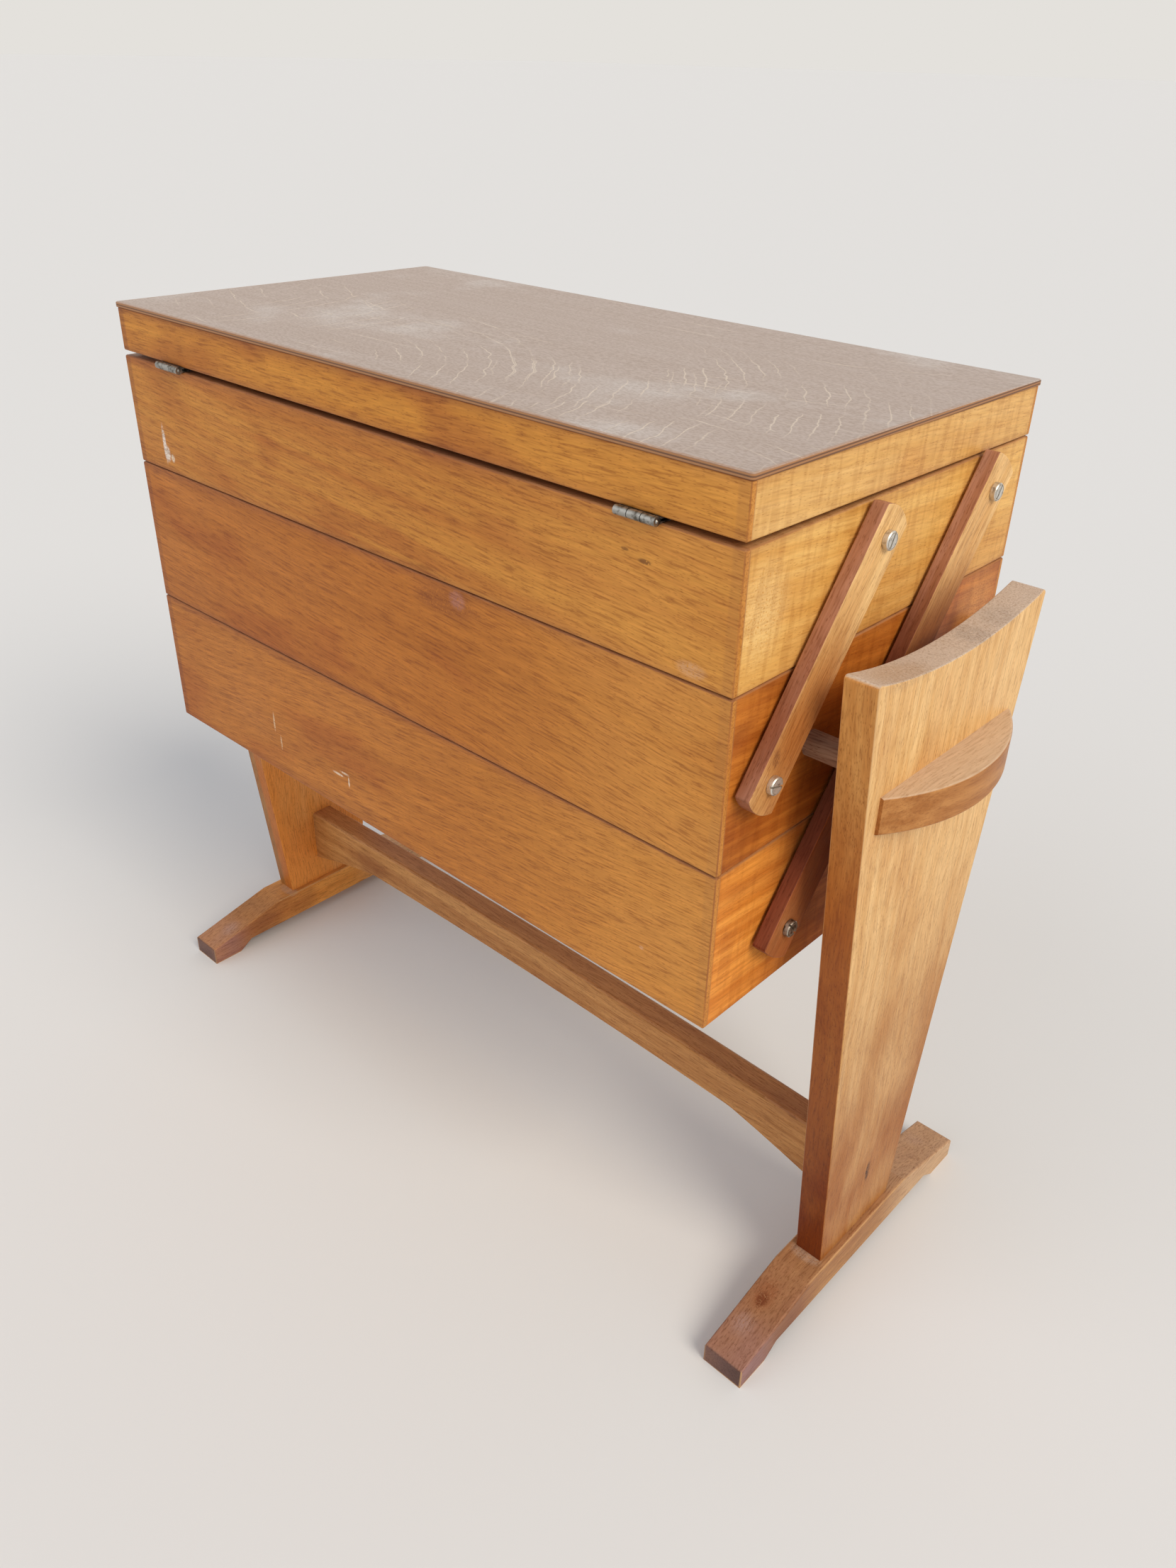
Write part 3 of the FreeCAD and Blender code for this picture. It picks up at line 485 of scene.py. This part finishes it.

# Arms of satin varnished beech: pale broad faces, and narrow ones tinted mauve red-brown as a
# painted sky reflection; lower down they carry painted shadow of the end panels.
armWood = {
    "grain": grainAlongArm,
    "sway": 5,
    "light": "EFC688",
    "dark": "DEAC68",
    "red": "C08044",
    "redness": 0.35,
    "fleck": "B89878",
    "lines": 0.45,
    "pores": 0.6,
    "grey": "A87458",
    "dustAndSkySheen": 0.25,
    # The narrow faces' mauve is a painted reflection of the sky.
    "side": "C8B2D4",
    "gloss": 0.42,
    "seed": 20.4,
}
arms = [f"arm_{kind}_{end}" for kind in ("top", "long", "low") for end in "ab"]
for number, name in enumerate(arms):
    spec = dict(armWood)
    # Lower down the arms are painted darker: painted shadow of the end panels, deepest where the
    # long arms pass behind the panel tops.
    spec["bands"] = {"low down": ("Z", 490, 418, 0.85, "A25A20")}
    if "long" in name:
        spec["bands"]["middle"] = ("Z", 480, 432, 0.85, "844C24")
        spec["bands"]["at the foot"] = ("Z", 400, 350, 0.75, "9C5026")
    if "low" in name:
        # The low arms, behind the end panels, are painted darker on their narrow faces and dark
        # brown towards the foot: painted shadow.
        spec["side"] = "A08078"
        spec["bands"] = {"all down": ("Z", 410, 350, 1.0, "5E2E16")}
    if name == "arm_top_a":
        spec["marks"] = [((260.5, -103.5, 415.5), (5, 4, 7), 0.7, "8A5630")]
    dressBeech(name, f"satin beech, {name}", spec, number)
print("arms dressed")

# End panels of honey beech, darker towards the foot, with bare grey end grain on top, its grey
# partly a painted sky reflection.
panelWood = {
    "grain": grainAlongZ,
    "sway": 12,
    "light": "ECC285",
    "dark": "DDAC6C",
    "red": "C88C4E",
    "redness": 0.4,
    "fleck": "B89878",
    "lines": 0.4,
    "pores": 0.6,
    "side": "E3C8A2",
    "sideLow": "D4B07E",
    "sideFallMm": (430, 300),  # height at which the lower tint starts and is full
    "grey": "C8B8A8",
    "dustAndSkySheen": 0.9,
    "arris": "DDB27C",
    "arrisMm": 1.0,
    "gloss": 0.4,
    "seed": 30.1,
    "footHalf": 40,  # half the width at the foot, in mm
    "outerX": 296.5,
}
for number, end in enumerate("ab"):
    name = f"end_panel_{end}"
    outer = panelWood["outerX"] * (1 if end == "a" else -1)
    spec = dict(panelWood)
    spec["bands"] = {"towards the foot": ("Z", 390, 60, 0.92, "96541C")}
    if end == "b":
        spec.update(side="DCD2C0", sideLow="F0E6DA", arris=None)
        # The inner face is painted warm orange: a painted pool of the warm key light falling on it.
        spec["bands"] = {
            "towards the foot": ("Z", 390, 40, 0.6, "A8642E"),
            "inner face": ("X", -290, -286, 0.95, "EA9440"),
        }
    spec["marks"] = [
        ((outer, 4, 80), (6, 3.4, 11), 1.0, "3E1E0E"),
        ((outer, 9, 84), (6, 7, 26), 0.5, "A86A38"),
        ((outer - 9, 20, 450), (14, 13, 7), 0.32, "8A7E74"),
        ((outer - 8, 44, 453), (14, 16, 7), 0.3, "94867A"),
        ((outer - 6, -50, 453), (16, 36, 7), 0.4, "B08A62"),
    ]
    dressBeech(name, f"honey beech, {name}", spec, number)

# Feet and stretcher of much handled beech: browner, and mauve at the tips on the hinge side.
footWood = {
    "grain": grainAlongY,
    "sway": 8,
    "light": "B4824F",
    "dark": "9C6A3E",
    "red": "8A5230",
    "redness": 0.5,
    "fleck": "B08E78",
    "lines": 0.45,
    "pores": 0.6,
    "grey": "A47454",
    "dustAndSkySheen": 0.45,
    "arris": "C99C6C",
    "arrisMm": 1.2,
    "gloss": 0.4,
    "seed": 40.6,
    "middleX": 283,
}
for number, end in enumerate("ab"):
    name = f"foot_{end}"
    spec = dict(footWood)
    across = footWood["middleX"] * (1 if end == "a" else -1)
    spec["bands"] = {
        "handled half": ("Y", -36, -80, 0.92, "7E4C34"),
        "tip": ("Y", -84, -112, 0.85, "946E6C"),
        "both ends": ("Y", 126, 127.4, 0.9, "4E3226"),
        "dusty back half": ("Y", 18, 70, 0.7, "D2B08A"),
    }
    if end == "b":
        # The far foot is painted brighter and more orange: painted warm light falling on it.
        spec.update(light="EEA450", dark="D88838", grey="C08A52")
    spec["marks"] = [
        ((across + 3, -42, 32), (14, 7, 4), 0.5, "B59A86"),
        ((across, -118, 24), (16, 26, 6), 0.6, "B4A2A6"),
        ((across, 118, 24), (16, 26, 6), 0.4, "A68C8A"),
    ]
    if end == "a":
        spec["marks"] += [
            ((across, -84, 25), (5, 7, 6), 0.9, "5E2F1A"),
            ((across, -80, 25), (9, 16, 8), 0.5, "8A4C2C"),
        ]
    dressBeech(name, f"handled beech, {name}", spec, number)

stretcherWood = {
    **footWood,
    "grain": grainAlongX,
    "light": "C68E52",
    "dark": "AC723C",
    "grey": "AE7854",
    "seed": 50.2,
}
dressBeech("stretcher", "handled beech, stretcher", stretcherWood)

# Grips: rubbed beech, dark in front and pale on top, the pale top partly a painted sky reflection.
gripWood = {
    **panelWood,
    "grain": grainAlongY,
    "light": "BC8248",
    "dark": "A46832",
    "side": "FFFFFF",  # no tint of its own, only the panel's lower one
    "grey": "DAC0A0",
    "lines": 0.3,
    "pores": 0.35,
    "dustAndSkySheen": 0.75,
    "arris": None,
    "seed": 60.9,
}
for number, end in enumerate("ab"):
    name = f"grip_{end}"
    dressBeech(name, f"handled beech, {name}", gripWood, number)

# Dowels left bare: dry, grey-brown and dull.
dowelWood = {
    **footWood,
    "grain": grainAlongX,
    "light": "A98468",
    "dark": "7C5640",
    "fleck": "A0806C",
    "grey": "9A7C68",
    "arris": None,
    "gloss": 0.6,
    "seed": 70.5,
}
dressBeech("support_dowels", "bare beech dowel", dowelWood)
print("stand dressed")

# Lid of thin plywood, its varnish gone matt and mauve-grey, partly faded and partly a painted
# reflection of the pale sky, with pale scratches.
plyTop = {
    # The pale and dark tints hold the faded veneer with a painted sky reflection in it.
    "pale": "BDACA1",
    "dark": "B9A79B",
    "grainMm": (190, 5),
    "grainShows": (0.36, 0.64),
    "speck": "ECE8E4",
    "speckMm": (2.4, 1.2),
    "speckShows": (0.42, 0.62),
    "patch": "D6CEC8",
    "patchesPerMetre": 11,
    "patchShows": (0.54, 0.72, 0.0, 0.6),
    "scratch": "E2D2BE",
    "scratchHalfMm": (0.6, 0.15),  # half widths at which a scratch is gone and is full
    "scratchFades": (0.75, 0.3, 0.0, 0.6),  # along it, in cells
    "bendsPerMetre": 50,
    "bendMm": 9,
    # centre, gap, cells to the metre, share kept, middle and radii of the part crossed, in mm
    "rings": (
        ((-75, -180, 552), 10, 22, 0.8, (150, -50, 552), (190, 150, 20)),
        ((-75, -180, 552), 12, 30, 0.7, (60, -70, 552), (150, 110, 20)),
        ((-330, -60, 552), 14, 28, 0.55, (-150, -60, 552), (140, 120, 20)),
        ((-60, 260, 552), 19, 30, 0.55, (-130, -50, 552), (160, 140, 20)),
        ((60, 420, 552), 23, 20, 0.35, (60, 20, 552), (300, 170, 20)),
        ((190, -250, 552), 15, 30, 0.5, (200, -90, 552), (110, 70, 20)),
    ),
    "edge": "6E4A30",
    "edgeLight": "A9764A",
    "layersMm": 1.5,
    "layerShows": (0.6, 0.8),
    "rimMm": 2.4,
    "rim": 0.45,
    "under": "D6B27C",
    "underDark": "C29A64",
    "gloss": 0.56,
    "bump": 0.08,
    "bumpMm": 0.3,
}


def lidPly(spec, name):
    # Matt faded veneer: even and greyish, the grey partly a painted sky reflection, so that the
    # scratches read against it.
    material = newMaterial("faded plywood lid with painted sky sheen, scratched")
    tints = ("pale", "dark", "speck", "patch", "scratch", "edge", "edgeLight", "under", "underDark")
    tint = {key: linearColour(spec[key]) for key in tints}
    origin = addNode(material, "TexCoord").node.outputs
    up = addNode(material, "SeparateXYZ", [origin["Normal"]]).node.outputs["Z"]
    place = addNode(material, "Mapping", {"Vector": origin["Object"], "Scale": toMm})
    level = addNode(material, "SeparateXYZ", [place]).node.outputs["Z"]
    grain = streaks(material, place, spec["grainMm"], 3.0)
    grained = addNode(material, "MapRange", [grain, *spec["grainShows"]], **smooth)
    shade = addNode(material, "Mix", {0: grained, 6: tint["pale"], 7: tint["dark"]}, **mixed)
    size = spec["patchesPerMetre"] * mm
    patch = addNode(material, "TexNoise", {"Vector": place, "Scale": size, "Detail": 3.0})
    mask = addNode(material, "MapRange", [patch, *spec["patchShows"]], **smooth)
    shade = addNode(material, "Mix", {0: mask, 6: shade, 7: tint["patch"]}, **mixed)
    speck = streaks(material, place, spec["speckMm"], 1.0)
    mask = addNode(material, "MapRange", [speck, *spec["speckShows"]], **smooth)
    shade = addNode(material, "Mix", {0: mask, 6: shade, 7: tint["speck"]}, **multiplied)
    # Scratches: broken rings round a few centres, kept to the parts of the lid they cross.
    size = spec["bendsPerMetre"] * mm
    bend = addNode(
        material, "TexNoise", {"Vector": place, "Scale": size, "Detail": 3.0}, output="Color"
    )
    bend = addNode(material, "VectorMath", [bend, (spec["bendMm"],) * 3], operation="MULTIPLY")
    bent = addNode(material, "VectorMath", [place, bend], operation="ADD")
    for centre, gap, cellsPerMetre, share, middle, radii in spec["rings"]:
        far = addNode(
            material, "VectorMath", [bent, centre], output="Value", operation="DISTANCE"
        )
        phase = addNode(material, "Math", [far, gap], operation="MODULO")
        off = addNode(material, "Math", [phase, gap / 2], operation="SUBTRACT")
        off = addNode(material, "Math", [off], operation="ABSOLUTE")
        line = addNode(material, "MapRange", [off, *spec["scratchHalfMm"]], **smooth)
        shifted = addNode(material, "VectorMath", [place, centre], operation="ADD")
        size = cellsPerMetre * mm
        cells = addNode(material, "TexVoronoi", {"Vector": shifted, "Scale": size})
        draw = addNode(material, "SeparateColor", [cells.node.outputs["Color"]])
        chosen = addNode(material, "Math", [draw, share], operation="LESS_THAN")
        fade = addNode(material, "MapRange", [cells, *spec["scratchFades"]], **smooth)
        crossed = spot(material, place, middle, radii)
        mask = addNode(material, "Math", [line, chosen], operation="MULTIPLY")
        mask = addNode(material, "Math", [mask, fade], operation="MULTIPLY")
        mask = addNode(material, "Math", [mask, crossed], operation="MULTIPLY")
        shade = addNode(material, "Mix", {0: mask, 6: shade, 7: tint["scratch"]}, **mixed)
    # The rim has darkened; the cut edge shows its layers and the underside is bare.
    low, high = boxOf(name)
    rim = arrisNearness(material, place, low, high, spec["rimMm"])
    mask = addNode(material, "Math", [rim, spec["rim"]], operation="MULTIPLY")
    shade = addNode(material, "Mix", {0: mask, 6: shade, 7: tint["edgeLight"]}, **mixed)
    layer = addNode(material, "Math", [level, spec["layersMm"]], operation="MODULO")
    mask = addNode(material, "MapRange", [layer, *spec["layerShows"]], **smooth)
    edge = addNode(material, "Mix", {0: mask, 6: tint["edge"], 7: tint["edgeLight"]}, **mixed)
    mask = addNode(material, "MapRange", [up, *turnedAway], **smooth)
    shade = addNode(material, "Mix", {0: mask, 6: shade, 7: edge}, **mixed)
    under = addNode(material, "Mix", {0: grained, 6: tint["under"], 7: tint["underDark"]}, **mixed)
    mask = addNode(material, "MapRange", [up, -turnedAway[1], -turnedAway[0]], **smooth)
    shade = addNode(material, "Mix", {0: mask, 6: shade, 7: under}, **mixed)
    relief = {"Strength": spec["bump"], "Distance": spec["bumpMm"] * mm}
    bump = addNode(material, "Bump", {**relief, "Height": grain})
    skin = {"Base Color": shade, "Roughness": spec["gloss"], "Normal": bump}
    surface = addNode(material, "BsdfPrincipled", skin)
    addNode(material, "OutputMaterial", [surface], output=None)
    return material


dress(lidPly(plyTop, "lid_panel"), "lid_panel")

# Tray floors of plain unvarnished plywood: pale and quiet.
trayPly = {
    "grain": grainAlongX,
    "sway": 16,
    "light": "DDBD8C",
    "dark": "C9A472",
    "red": "C09460",
    "redness": 0.3,
    "fleck": "A37A4A",
    "lines": 0.25,
    "pores": 0.25,
    "grey": "D8BA8E",
    "dustAndSkySheen": 0.3,
    "gloss": 0.55,
    "seed": 80.8,
}
for number, part in enumerate(("low_tray", "middle_tray", "top_tray")):
    dressBeech(f"{part}_base", f"plain plywood, {part} base", trayPly, number)
print("plywood dressed")

# Plated steel, dulled by age: tarnish gathers in soft spots and fine grit breaks up the gloss.
# Nickel on the upper screws is still bright, lower down it has gone brown, and the hinges are
# zinc-grey. Tarnish is where its noise starts to show and is full.
steelSkin = {
    "spotsPerMetre": 350,
    "gritPerMetre": 2000,
    "gritShows": (0.3, 0.7),
    "glossFrom": -0.07,
    "glossTo": 0.1,
    "bump": 0.1,
    "bumpMm": 0.2,
}
hinges = [f"hinge_{part}_{end}" for part in ("tray_leaf", "lid_leaf", "pin") for end in "ab"]
steels = {
    "dull nickel screws": {
        "light": "DCD7CE",
        "dark": "8E8476",
        "gloss": 0.42,
        "tarnish": (0.5, 0.78),
        "on": ["pivot_screws_top", "pivot_screws_middle", "washers_top", "washers_middle"],
    },
    "tarnished nickel screws": {
        "light": "B4AA9C",
        "dark": "5A4A3A",
        "gloss": 0.46,
        "tarnish": (0.42, 0.68),
        "on": ["pivot_screws_low", "washers_low", "grip_screws"],
    },
    "zinc-grey hinge steel": {
        "light": "A3A19B",
        "dark": "5E5A52",
        "gloss": 0.42,
        "tarnish": (0.42, 0.68),
        "on": [*hinges, "hinge_screws_tray", "hinge_screws_lid"],
    },
}


def steel(label, spec):
    material = newMaterial(label)
    place = addNode(material, "TexCoord").node.outputs["Object"]
    place = addNode(material, "Mapping", {"Vector": place, "Scale": toMm})
    size = steelSkin["spotsPerMetre"] * mm
    spots = addNode(material, "TexNoise", {"Vector": place, "Scale": size, "Detail": 3.0})
    size = steelSkin["gritPerMetre"] * mm
    grit = addNode(material, "TexNoise", {"Vector": place, "Scale": size, "Detail": 2.0})
    mask = addNode(material, "MapRange", [spots, *spec["tarnish"]], **smooth)
    light, dark = linearColour(spec["light"]), linearColour(spec["dark"])
    shade = addNode(material, "Mix", {0: mask, 6: light, 7: dark}, **mixed)
    ends = [spec["gloss"] + steelSkin["glossFrom"], spec["gloss"] + steelSkin["glossTo"]]
    gloss = addNode(material, "MapRange", [grit, *steelSkin["gritShows"], *ends])
    relief = {"Strength": steelSkin["bump"], "Distance": steelSkin["bumpMm"] * mm}
    bump = addNode(material, "Bump", {**relief, "Height": grit})
    skin = {"Base Color": shade, "Metallic": 1.0, "Roughness": gloss, "Normal": bump}
    surface = addNode(material, "BsdfPrincipled", skin)
    addNode(material, "OutputMaterial", [surface], output=None)
    return material


for label, spec in steels.items():
    dress(steel(label, spec), *spec["on"])
print("steel dressed")
